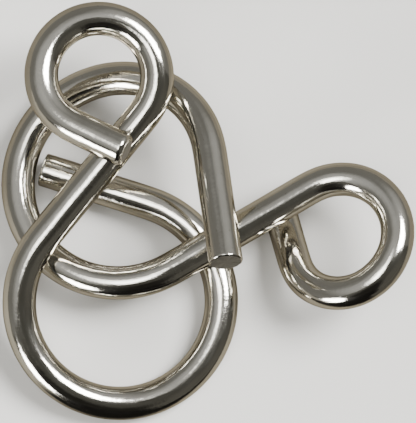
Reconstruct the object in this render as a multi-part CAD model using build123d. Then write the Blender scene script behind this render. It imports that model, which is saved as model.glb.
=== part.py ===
"""Two-piece bent-wire disentanglement puzzle, lying hooked together on a flat surface.

Both pieces have the same bends: one length of round steel wire with a small closed eye at
one end, a straight shank, a large open loop and a straight tail. The tail passes the shank
with a gap just wider than the wire, which is the way out of the puzzle. The upper piece
hooks under the shank of the lower piece and leans on its loop.

Millimetres and degrees. +Z is up from the surface that the puzzle lies on, which is Z = 0.
"""
from build123d import *
import os

# The wire
WIRE_DIAMETER = 5.0
END_ROUNDING = 0.4  # edge radius of the two cut ends

# The bending, measured to the wire's centreline
EYE_RADIUS = 8.6
EYE_TURN = 282.0
EYE_ARCS = 4
EYE_ROLL = 9.3  # roll between two arcs, which lifts the eye's end over the shank
EYE_END = 8.9  # straight end that closes the eye
SHANK = 23.9
SHANK_ROLL = -6.5  # roll of the eye's plane from the loop's plane
LOOP_RADIUS = 15.3
LOOP_TURN = 290.0
LOOP_ARCS = 5
LOOP_ROLL = -6.15  # roll between two arcs, which drops the tail under the shank
UPPER_TAIL = 16.9  # stops short of the lower piece's loop as it swings
LOWER_TAIL = 18.2

# How each piece lies: middle of its shank, then its heading, dip and roll
UPPER_MIDDLE = (-17.14, 4.95, 13.30)
UPPER_HEADING = -129.4
UPPER_DIP = 13.9
UPPER_ROLL = -8.6
LOWER_MIDDLE = (5.09, -1.93, 9.19)
LOWER_HEADING = -149.4
LOWER_DIP = 3.3
LOWER_ROLL = -167.4


def straight(start, length):
    """A straight run along the X axis of start, and where it ends."""
    run = extrude(Plane.YZ * Circle(WIRE_DIAMETER / 2), amount=length)
    return start * run, start * Pos(length, 0, 0)


def arc(start, radius, angle):
    """An arc that leaves start along X and bends towards Y, and where it ends."""
    section = Plane.YZ * Circle(WIRE_DIAMETER / 2)
    bend = revolve(section, axis=Axis((0, radius, 0), (0, 0, 1)), revolution_arc=angle)
    end = start * Pos(0, radius, 0) * Rot(Z=angle) * Pos(0, -radius, 0)
    return start * bend, end


def coil(start, radius, turn, arcs, roll, end_length):
    """Equal arcs with a roll between each two, then a straight end. Also gives its tip."""
    runs = []
    for index in range(arcs):
        if index > 0:
            start = start * Rot(X=roll)
        bend, start = arc(start, radius, turn / arcs)
        runs.append(bend)
    end, tip = straight(start, end_length)
    return runs + [end], tip


def rim(wire, tip):
    """The round edge of the cut end at tip."""
    circles = wire.edges().filter_by(GeomType.CIRCLE)
    return circles.sort_by(lambda circle: (circle.arc_center - tip.position).length)[0]


def bent_wire(tail):
    """One piece with this length of tail, with the middle of its shank at the origin and its loop towards +X."""
    shank_start = Pos(-SHANK / 2, 0, 0)
    shank, shank_end = straight(shank_start, SHANK)
    eye_start = shank_start * Rot(Z=180) * Rot(X=SHANK_ROLL)
    eye, eye_tip = coil(eye_start, EYE_RADIUS, EYE_TURN, EYE_ARCS, EYE_ROLL, EYE_END)
    loop, tail_tip = coil(shank_end, LOOP_RADIUS, LOOP_TURN, LOOP_ARCS, LOOP_ROLL, tail)
    wire = shank.fuse(*eye, *loop)
    return fillet([rim(wire, eye_tip), rim(wire, tail_tip)], END_ROUNDING)


def lay(piece, middle, heading, dip, roll):
    """Put a piece in place: roll it about its shank, dip its loop end, then turn it."""
    place = Pos(*middle) * Rot(Z=heading) * Rot(Y=dip) * Rot(X=roll)
    return place * piece


def main():
    upper = bent_wire(UPPER_TAIL)
    lower = bent_wire(LOWER_TAIL)
    pieces = {
        "upper_wire": lay(upper, UPPER_MIDDLE, UPPER_HEADING, UPPER_DIP, UPPER_ROLL),
        "lower_wire": lay(lower, LOWER_MIDDLE, LOWER_HEADING, LOWER_DIP, LOWER_ROLL),
    }
    os.makedirs("parts", exist_ok=True)
    for name, piece in pieces.items():
        export_step(piece, f"parts/{name}.step")


main()
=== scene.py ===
"""The bent-wire puzzle as it looks: bright plated wire in soft studio light, seen from above.

The two wires follow the bends of the CAD model. Lengths are in millimetres and angles in
degrees up to MM, which turns them into Blender's metres.
"""
import math
import bmesh
import bpy
import numpy as np
from mathutils import Matrix, Vector, noise


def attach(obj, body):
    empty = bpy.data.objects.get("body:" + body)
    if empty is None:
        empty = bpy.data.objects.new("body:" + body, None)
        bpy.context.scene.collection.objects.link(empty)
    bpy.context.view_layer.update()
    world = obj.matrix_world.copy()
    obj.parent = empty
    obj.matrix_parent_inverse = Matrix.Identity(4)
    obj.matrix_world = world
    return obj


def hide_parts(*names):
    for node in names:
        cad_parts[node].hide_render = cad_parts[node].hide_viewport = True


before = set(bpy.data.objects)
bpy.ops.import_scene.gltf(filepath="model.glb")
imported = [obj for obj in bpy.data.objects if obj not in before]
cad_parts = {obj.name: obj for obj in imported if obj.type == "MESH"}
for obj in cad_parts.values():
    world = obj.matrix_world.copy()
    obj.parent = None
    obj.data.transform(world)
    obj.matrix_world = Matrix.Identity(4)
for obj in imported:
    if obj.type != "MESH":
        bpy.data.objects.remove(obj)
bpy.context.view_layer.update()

MM = 0.001

# The wire's bends, as the CAD model has them
WIRE_RADIUS = 2.5
EYE_RADIUS = 8.6
EYE_TURN = 282.0
EYE_ARCS = 4
EYE_ROLL = 9.3
EYE_END = 8.9
SHANK = 23.9
SHANK_ROLL = -6.5
LOOP_RADIUS = 15.3
LOOP_TURN = 290.0
LOOP_ARCS = 5
LOOP_ROLL = -6.15
UPPER_TAIL = 16.9
LOWER_TAIL = 18.2

# Where each wire lies: middle of its shank, then heading, dip and roll
UPPER_PLACE = ((-17.14, 4.95, 13.30), -129.4, 13.9, -8.6)
LOWER_PLACE = ((5.09, -1.93, 9.19), -149.4, 3.3, -167.4)

# The wire's surface
STEP = 0.3  # between two rings of vertices
RING = 80  # vertices round the wire
EASE = 1.1  # length over which a bend eases in and out
SIDEWAYS = (0.3, 0.2, 0.93)  # sets where the count round the wire starts
FLATTENING = 0.012  # how much narrower a bend is across its plane
RIPPLE, RIPPLE_SCALE = 0.014, 0.16  # height and scale of the waves that bending left
DENT, DENT_SCALE = 0.01, 0.5  # the same of the finer dents

# The cut ends
FLAT_RINGS = (0.35, 0.7, 0.93)  # rings on the flat, as shares of its radius
CORNER_RINGS = (90, 75, 60, 45, 30, 15, 0)  # rings on the rounded edge, from flat to side
SHEAR, SHEAR_SCALE = 0.09, 1.4  # how far the cut face rises and falls, and its scale
SHEAR_REACH = 1.0  # how far from the end that is felt
UPPER_ROUNDINGS = (0.9, 0.36)  # of the edge at the eye's end, and at the tail's
LOWER_ROUNDINGS = (0.5, 0.26)

# The metal's colours
PLATE_DARK = (0.60, 0.577, 0.518)
PLATE_LIGHT = (0.66, 0.64, 0.585)
PLATE_STREAK = (0.52, 0.51, 0.47)
PLATE_PIT = (0.30, 0.27, 0.21)
PLATE_GLANCING = (0.72, 0.68, 0.60, 1)
STREAKS = (7.0, 7.0, 0.22)  # how many go round the wire, and how few along it
CUT_DARK = (0.21, 0.205, 0.19)
CUT_LIGHT = (0.31, 0.30, 0.28)

# The floor as the camera sees it, and a painted reflection in its place: a brown table, with
# painted shade and light, seen only by the metal's mirror rays. A pair is where a tone starts and
# where it is full, in metres from the middle.
FLOOR_SIZE = 3.0
FLOOR = (0.66, 0.65, 0.625)
# painted reflection: the brown table that only the metal's mirror rays see
PAINTED_TABLE_REFLECTION = (0.209, 0.190, 0.153)
# painted reflection: the mirrored table gets darker further from the middle
PAINTED_REFLECTION_FAR_DARKER, AROUND = (0.137, 0.125, 0.102), (0.030, 0.060)
# painted light in the reflection: the mirrored table is lighter to the left and towards -Y
PAINTED_LIGHT_LEFT, LEFT, LEFT_NEAR = (0.245, 0.228, 0.190), (-0.018, -0.034), (0.012, -0.018)
# painted shade in the reflection: the mirrored table goes dark towards -Y, and black in part of
# that, widening towards the viewer
PAINTED_SHADE_NEAR, NEAR, NEAR_FROM_LEFT = (0.043, 0.041, 0.035), (-0.029, -0.036), (-0.024, -0.014)
PAINTED_SHADE_BLACK, BLACK_FROM_RIGHT = (0.005, 0.0047, 0.004), (0.034, 0.018)
WIDENING = 0.35  # how much wider the dark part gets towards the viewer

# The room. A spot is its place (degrees from straight up, then from +X towards +Y), the
# degrees from there at which it starts to fade and is gone, and its share.
ROOM_LOW = (0.232, 0.226, 0.206)
ROOM_HIGH = (0.205, 0.204, 0.194)
GLOWS = (
    ((18, 180), 0, 44, 0.55, (0.95, 0.95, 0.93)),
    ((44, 44), 8, 40, 0.42, (0.85, 0.85, 0.83)),
)
SHADES = (
    ((75, -42), 10, 40, 0.8, (0.135, 0.13, 0.115)),
    ((58, -90), 17, 30, 1.0, (0.022, 0.021, 0.018)),
    ((88, -86), 20, 29, 1.0, (0.014, 0.013, 0.012)),
)
FIRST_LAMP, FIRST_LIGHT = ((32.5, 24), 12.5, 18, 1.0), (36.0, 36.0, 35.8)
SECOND_LAMP, SECOND_LIGHT = ((13, 205), 5, 19, 1.0), (5.6, 5.6, 5.5)
SECOND_CORE, CORE_LIGHT = ((14, -140), 2, 11, 1.0), (10.0, 10.0, 9.9)
THIRD_LAMP, THIRD_LIGHT = ((75.5, -127), 12, 14.5, 1.0), (24.0, 23.9, 23.6)

# Straight edges in the room: the direction across, and where along it the edge starts and ends
TO_DARK = (0.449, -0.851, -0.271)  # from the light side of the room to the dark one
TO_LIGHT = (-0.449, 0.851, 0.271)
DARK_EDGES, DARK = ((TO_DARK, -0.05, 0.03), ((1, 0, 0), 0.2, 0.0)), (0.10, 0.097, 0.085)
CORNER_EDGES = (((0, -1, 0), 0.01, 0.06), ((1, 0, 0), -0.05, 0.02))
CORNER = (0.085, 0.083, 0.073)
FIRST_EDGE = ((0, 1, 0), 0.0, 0.05)
SECOND_EDGES = (((-1, 0, 0), 0.02, 0.07), (TO_LIGHT, 0.0, 0.06))

# The camera, and its lens in millimetres
CAMERA_PLACE = (-53.11, -98.03, 721.20)
CAMERA_LOOK = (0.07386, 0.13665, -0.98786)
CAMERA_UP = (-0.01019, 0.99062, 0.13626)
CAMERA_LENS = 420.8


def turn(axis, angle):
    return Matrix.Rotation(math.radians(angle), 4, axis)


def shift(x, y, z):
    return Matrix.Translation((x, y, z))


def walk_arc(start, radius, angle):
    """Frames along an arc that leaves start along X and bends towards Y."""
    count = round(math.radians(angle) * radius / STEP)
    centre = start @ shift(0, radius, 0)
    spoke = shift(0, -radius, 0)
    return [centre @ turn("Z", angle * i / count) @ spoke for i in range(1, count + 1)]


def walk_straight(start, length):
    count = round(length / STEP)
    return [start @ shift(length * i / count, 0, 0) for i in range(1, count + 1)]


def walk_coil(start, radius, angle, arcs, roll, end_length):
    """Frames along a coil of equal arcs, each rolled against the last, and its straight end."""
    frames = []
    for index in range(arcs):
        if index > 0:
            start = start @ turn("X", roll)
        frames += walk_arc(start, radius, angle / arcs)
        start = frames[-1]
    return frames + walk_straight(start, end_length)


def centreline(tail, place):
    """Points along the middle of the wire, from the eye's end to the tail's end."""
    middle, heading, dip, roll = place
    lay = shift(*middle) @ turn("Z", heading) @ turn("Y", dip) @ turn("X", roll)
    start = lay @ shift(-SHANK / 2, 0, 0)
    eye_start = start @ turn("Z", 180) @ turn("X", SHANK_ROLL)
    eye = walk_coil(eye_start, EYE_RADIUS, EYE_TURN, EYE_ARCS, EYE_ROLL, EYE_END)
    shank = walk_straight(start, SHANK)
    loop = walk_coil(shank[-1], LOOP_RADIUS, LOOP_TURN, LOOP_ARCS, LOOP_ROLL, tail)
    frames = eye[::-1] + [start] + shank + loop
    return np.array([f.translation for f in frames])


def eased(points):
    """The same line with its bends eased in and out, and its two ends kept."""
    reach = round(3 * EASE / STEP)
    offsets = np.arange(-reach, reach + 1) * STEP
    weights = np.exp(-0.5 * (offsets / EASE) ** 2)
    weights /= weights.sum()
    first = points[0] + (points[0] - points[1]) * np.arange(reach, 0, -1)[:, None]
    last = points[-1] + (points[-1] - points[-2]) * np.arange(1, reach + 1)[:, None]
    padded = np.vstack([first, points, last])
    return np.stack([np.convolve(padded[:, k], weights, "valid") for k in range(3)], 1)


def unit(vectors):
    return vectors / np.linalg.norm(vectors, axis=-1, keepdims=True)


def carried_frames(points):
    """Tangents, and a normal carried along the line without twist."""
    tangents = unit(np.gradient(points, axis=0))
    normals = [unit(np.cross(tangents[0], SIDEWAYS))]
    for tangent in tangents[1:]:
        normals.append(unit(normals[-1] - tangent * (normals[-1] @ tangent)))
    return tangents, np.array(normals)


def end_rings(rounding):
    """(distance from the cut face, radius) of each ring, from the flat to the wire's side."""
    flat = WIRE_RADIUS - rounding
    rings = [(0, flat * share) for share in FLAT_RINGS]
    for angle in CORNER_RINGS:
        corner = math.radians(angle)
        rings.append((rounding * (1 - math.sin(corner)), flat + rounding * math.cos(corner)))
    return rings


def ring_profile(length, eye_rounding, tail_rounding):
    """(distance along the wire, radius) of each ring, from the eye's end to the tail's."""
    body = np.arange(eye_rounding + STEP / 2, length - tail_rounding - STEP / 4, STEP)
    far = [(length - along, radius) for along, radius in end_rings(tail_rounding)[::-1]]
    return end_rings(eye_rounding) + [(along, WIRE_RADIUS) for along in body] + far


def skin(mesh, rings):
    """Faces between the rings. Those on the flat of a cut end take the second material."""
    for index, (low, high) in enumerate(zip(rings, rings[1:])):
        from_end = min(index, len(rings) - 2 - index)
        for i in range(RING):
            j = (i + 1) % RING
            face = mesh.faces.new((low[i], low[j], high[j], high[i]))
            face.material_index = int(from_end < len(FLAT_RINGS))


def close_end(mesh, ring, order):
    """A fan of faces that closes an end of the wire."""
    hub = mesh.verts.new(sum((v.co for v in ring), Vector()) / RING)
    for i in range(RING):
        pair = (ring[i], ring[(i + 1) % RING])[::order]
        mesh.faces.new((*pair, hub)).material_index = 1


def in_scene(name, data):
    piece = bpy.data.objects.new(name, data)
    bpy.context.scene.collection.objects.link(piece)
    return piece


def bent_wire(name, tail, place, roundings, seed):
    """One closed piece of wire, with its place round and along the wire as a point attribute."""
    points = eased(centreline(tail, place))
    tangents, normals = carried_frames(points)
    bend = np.gradient(tangents, axis=0) / STEP
    spacing = np.linalg.norm(np.diff(points, axis=0), axis=1)
    along_points = np.concatenate([[0], np.cumsum(spacing)])
    length = along_points[-1]

    def at(table, along):
        return np.array([np.interp(along, along_points, table[:, k]) for k in range(3)])

    angles = np.arange(RING) * 2 * math.pi / RING
    mesh = bmesh.new()
    rings = []
    marks = []  # of each vertex
    for along, radius in ring_profile(length, *roundings):
        middle = at(points, along)
        tangent = unit(at(tangents, along))
        first = at(normals, along)
        first = unit(first - tangent * (first @ tangent))
        second = np.cross(tangent, first)
        curve = at(bend, along)
        bent = min(1.0, np.linalg.norm(curve) * EYE_RADIUS)
        curve_side = curve / max(1e-9, np.linalg.norm(curve))
        ring = []
        marks += [(math.cos(angle), math.sin(angle), along) for angle in angles]
        for angle in angles:
            out = math.cos(angle) * first + math.sin(angle) * second
            squeeze = 1 + FLATTENING * bent * (0.5 - (out @ curve_side) ** 2)
            spot = Vector(middle + out * WIRE_RADIUS)
            wave = noise.noise(spot * RIPPLE_SCALE + Vector((seed, 0, 0)))
            dent = noise.noise(spot * DENT_SCALE + Vector((0, seed, 0)))
            swell = (RIPPLE * wave + DENT * dent) * radius / WIRE_RADIUS
            near_end = max(0.0, 1 - min(along, length - along) / SHEAR_REACH)
            lean = math.sin(angle + seed) + noise.noise(spot * SHEAR_SCALE)
            cut = tangent * (SHEAR * lean * near_end * radius / WIRE_RADIUS)
            ring.append(mesh.verts.new((middle + cut + out * (radius * squeeze + swell)) * MM))
        rings.append(ring)
    skin(mesh, rings)
    for ring, order in ((rings[0], -1), (rings[-1], 1)):
        close_end(mesh, ring, order)
        marks.append((0, 0, 0))
    bmesh.ops.recalc_face_normals(mesh, faces=mesh.faces)
    data = bpy.data.meshes.new(name)
    mesh.to_mesh(data)
    mesh.free()
    data.shade_smooth()
    drawn = data.attributes.new("drawn", "FLOAT_VECTOR", "POINT")
    drawn.data.foreach_set("vector", np.array(marks).ravel())
    return in_scene(name, data)


class Nodes:
    """Adds nodes to one node tree and links them."""

    def __init__(self, tree):
        self.tree = tree
        tree.nodes.clear()

    def add(self, kind, settings=None, inputs=None):
        node = self.tree.nodes.new(kind)
        for key, value in (settings or {}).items():
            setattr(node, key, value)
        for key, value in (inputs or {}).items():
            if isinstance(value, bpy.types.NodeSocket):
                self.tree.links.new(value, node.inputs[key])
            else:
                node.inputs[key].default_value = value
        return node

    def noise(self, where, scale, detail=2.0, roughness=0.5):
        inputs = {"Vector": where, "Scale": scale, "Detail": detail, "Roughness": roughness}
        return self.add("ShaderNodeTexNoise", inputs=inputs).outputs["Fac"]

    def spread(self, value, low, high, new_low, new_high, smooth=False):
        settings = {"interpolation_type": "SMOOTHSTEP"} if smooth else {}
        inputs = {"Value": value, "From Min": low, "From Max": high}
        inputs |= {"To Min": new_low, "To Max": new_high}
        return self.add("ShaderNodeMapRange", settings, inputs).outputs["Result"]

    def fade(self, value, start, full):
        return self.spread(value, start, full, 0, 1, True)

    def times(self, a, b):
        return self.add("ShaderNodeMath", {"operation": "MULTIPLY"}, {0: a, 1: b}).outputs[0]

    def times_plus(self, a, b, c):
        inputs = {0: a, 1: b, 2: c}
        return self.add("ShaderNodeMath", {"operation": "MULTIPLY_ADD"}, inputs).outputs[0]

    def blend(self, share, a, b):
        node = self.add("ShaderNodeMix", {"data_type": "RGBA"})
        for index, value in ((0, share), (6, a), (7, b)):
            if isinstance(value, bpy.types.NodeSocket):
                self.tree.links.new(value, node.inputs[index])
            else:
                node.inputs[index].default_value = value if index == 0 else (*value, 1)
        return node.outputs[2]

    def bump(self, height, strength, distance, under=None):
        inputs = {"Height": height, "Strength": strength, "Distance": distance}
        if under is not None:
            inputs["Normal"] = under
        return self.add("ShaderNodeBump", inputs=inputs).outputs[0]

    def surface(self, inputs):
        shader = self.add("ShaderNodeBsdfPrincipled", inputs=inputs)
        self.add("ShaderNodeOutputMaterial", inputs={"Surface": shader.outputs[0]})


def new_material(name):
    material = bpy.data.materials.new(name)
    material.use_nodes = True
    return material, Nodes(material.node_tree)


def nickel_plate():
    """Bright nickel plate with slight waves, fine pits and marks drawn out along the wire."""
    material, nodes = new_material("nickel_plate")
    where = nodes.add("ShaderNodeTexCoord").outputs["Object"]
    drawn = nodes.add("ShaderNodeAttribute", {"attribute_name": "drawn"}).outputs["Vector"]
    stretch = {0: drawn, 1: STREAKS}
    along = nodes.add("ShaderNodeVectorMath", {"operation": "MULTIPLY"}, stretch).outputs[0]
    cloud = nodes.noise(where, 180, 3)
    waves = nodes.noise(where, 700, 4, 0.6)
    lines = nodes.noise(along, 1.0, 3, 0.6)
    pits = nodes.noise(where, 2600, 2)
    colour = nodes.blend(nodes.spread(cloud, 0.35, 0.65, 0, 1), PLATE_DARK, PLATE_LIGHT)
    colour = nodes.blend(nodes.spread(lines, 0.35, 0.75, 0, 0.35), colour, PLATE_STREAK)
    colour = nodes.blend(nodes.spread(pits, 0.70, 0.78, 0, 0.5), colour, PLATE_PIT)
    normal = nodes.bump(waves, 0.12, 0.0002)
    normal = nodes.bump(lines, 0.15, 0.0001, normal)
    normal = nodes.bump(pits, 0.10, 0.00005, normal)
    nodes.surface(
        {
            "Base Color": colour,
            "Metallic": 1.0,
            "Roughness": nodes.spread(lines, 0.3, 0.7, 0.06, 0.15),
            "Specular Tint": PLATE_GLANCING,
            "Normal": normal,
        }
    )
    return material


def cut_end():
    """The satin grey face where the wire was cut."""
    material, nodes = new_material("cut_end")
    where = nodes.add("ShaderNodeTexCoord").outputs["Object"]
    grain = nodes.noise(where, 1500, 3)
    nodes.surface(
        {
            "Base Color": nodes.blend(grain, CUT_DARK, CUT_LIGHT),
            "Metallic": 1.0,
            "Roughness": 0.38,
            "Normal": nodes.bump(grain, 0.25, 0.0001),
        }
    )
    return material


def floor():
    """The matt surface that the puzzle lies on: pale to the camera, and in the metal a painted
    reflection of a brown table with painted shade and light.
    """
    mesh = bmesh.new()
    bmesh.ops.create_grid(mesh, x_segments=8, y_segments=8, size=FLOOR_SIZE)
    data = bpy.data.meshes.new("floor")
    mesh.to_mesh(data)
    mesh.free()
    ground = in_scene("floor", data)
    material, nodes = new_material("floor")
    place = nodes.add("ShaderNodeNewGeometry").outputs["Position"]
    parts = nodes.add("ShaderNodeSeparateXYZ", inputs={0: place}).outputs
    x, y = parts["X"], parts["Y"]
    length = nodes.add("ShaderNodeVectorMath", {"operation": "LENGTH"}, {0: place})
    # Painted reflection for mirror rays only: a brown table, darker further out, with painted
    # light to the left and painted shade towards -Y.
    around = nodes.fade(length.outputs["Value"], *AROUND)
    table = nodes.blend(around, PAINTED_TABLE_REFLECTION, PAINTED_REFLECTION_FAR_DARKER)
    left = nodes.times(nodes.fade(x, *LEFT), nodes.fade(y, *LEFT_NEAR))
    table = nodes.blend(left, table, PAINTED_LIGHT_LEFT)
    from_left = nodes.fade(nodes.times_plus(y, -WIDENING, x), *NEAR_FROM_LEFT)
    near_shade = nodes.times(nodes.fade(y, *NEAR), from_left)
    table = nodes.blend(near_shade, table, PAINTED_SHADE_NEAR)
    black_shade_edge = nodes.fade(nodes.times_plus(y, WIDENING, x), *BLACK_FROM_RIGHT)
    table = nodes.blend(nodes.times(near_shade, black_shade_edge), table, PAINTED_SHADE_BLACK)
    # Mirror rays see the painted reflection, the camera sees the evenly pale floor.
    mirrored = nodes.add("ShaderNodeLightPath").outputs["Is Glossy Ray"]
    nodes.surface({"Base Color": nodes.blend(mirrored, FLOOR, table), "Specular IOR Level": 0.0})
    data.materials.append(material)


def towards(from_zenith, azimuth):
    """The direction at this angle from straight up, turned this far from +X towards +Y."""
    tilt, around = math.radians(from_zenith), math.radians(azimuth)
    return (math.sin(tilt) * math.cos(around), math.sin(tilt) * math.sin(around), math.cos(tilt))


def studio_light():
    """A grey room with three soft lamps and a dark side, as a world behind everything."""
    world = bpy.data.worlds.new("studio")
    bpy.context.scene.world = world
    world.use_nodes = True
    nodes = Nodes(world.node_tree)
    where = nodes.add("ShaderNodeTexCoord").outputs["Generated"]

    def facing(direction):
        inputs = {0: where, 1: direction}
        dot = nodes.add("ShaderNodeVectorMath", {"operation": "DOT_PRODUCT"}, inputs)
        return dot.outputs["Value"]

    def spot(place, inner, outer, share):
        gone, full = math.cos(math.radians(outer)), math.cos(math.radians(inner))
        return nodes.spread(facing(towards(*place)), gone, full, 0, share, True)

    def edge(direction, start, full):
        return nodes.fade(facing(direction), start, full)

    height = nodes.add("ShaderNodeSeparateXYZ", inputs={0: where}).outputs["Z"]
    colour = nodes.blend(nodes.spread(height, 0, 1, 0, 1), ROOM_LOW, ROOM_HIGH)
    for *glow, tone in GLOWS:
        colour = nodes.blend(spot(*glow), colour, tone)
    for (one, other), tone in ((DARK_EDGES, DARK), (CORNER_EDGES, CORNER)):
        colour = nodes.blend(nodes.times(edge(*one), edge(*other)), colour, tone)
    for *shade, tone in SHADES:
        colour = nodes.blend(spot(*shade), colour, tone)
    first = nodes.times(spot(*FIRST_LAMP), edge(*FIRST_EDGE))
    colour = nodes.blend(first, colour, FIRST_LIGHT)
    second = spot(*SECOND_LAMP)
    for cut in SECOND_EDGES:
        second = nodes.times(second, edge(*cut))
    colour = nodes.blend(second, colour, SECOND_LIGHT)
    core = nodes.times(second, spot(*SECOND_CORE))
    colour = nodes.blend(core, colour, CORE_LIGHT)
    colour = nodes.blend(spot(*THIRD_LAMP), colour, THIRD_LIGHT)
    shader = nodes.add("ShaderNodeBackground", inputs={"Color": colour, "Strength": 1.0})
    nodes.add("ShaderNodeOutputWorld", inputs={"Surface": shader.outputs[0]})


def camera():
    """The photo's camera: almost straight above, and far off."""
    data = bpy.data.cameras.new("camera")
    data.sensor_fit = "HORIZONTAL"
    data.sensor_width = 36.0
    data.lens = CAMERA_LENS
    data.clip_start = 0.01
    data.clip_end = 20.0
    eye = in_scene("camera", data)
    back = -Vector(CAMERA_LOOK).normalized()
    right = Vector(CAMERA_UP).cross(back).normalized()
    up = back.cross(right)
    turned = Matrix((right, up, back)).transposed().to_4x4()
    eye.matrix_world = Matrix.Translation(Vector(CAMERA_PLACE) * MM) @ turned
    bpy.context.scene.camera = eye


def main():
    plate = nickel_plate()
    end = cut_end()
    wires = (
        ("upper_bent_wire", "upper_wire", "upper", UPPER_TAIL, UPPER_PLACE, UPPER_ROUNDINGS, 3.0),
        ("lower_bent_wire", "lower_wire", "lower", LOWER_TAIL, LOWER_PLACE, LOWER_ROUNDINGS, 11.0),
    )
    for name, node, body, tail, place, roundings, seed in wires:
        piece = bent_wire(name, tail, place, roundings, seed)
        piece.data.materials.append(plate)
        piece.data.materials.append(end)
        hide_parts(node)
        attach(piece, body)
    floor()
    studio_light()
    camera()


main()
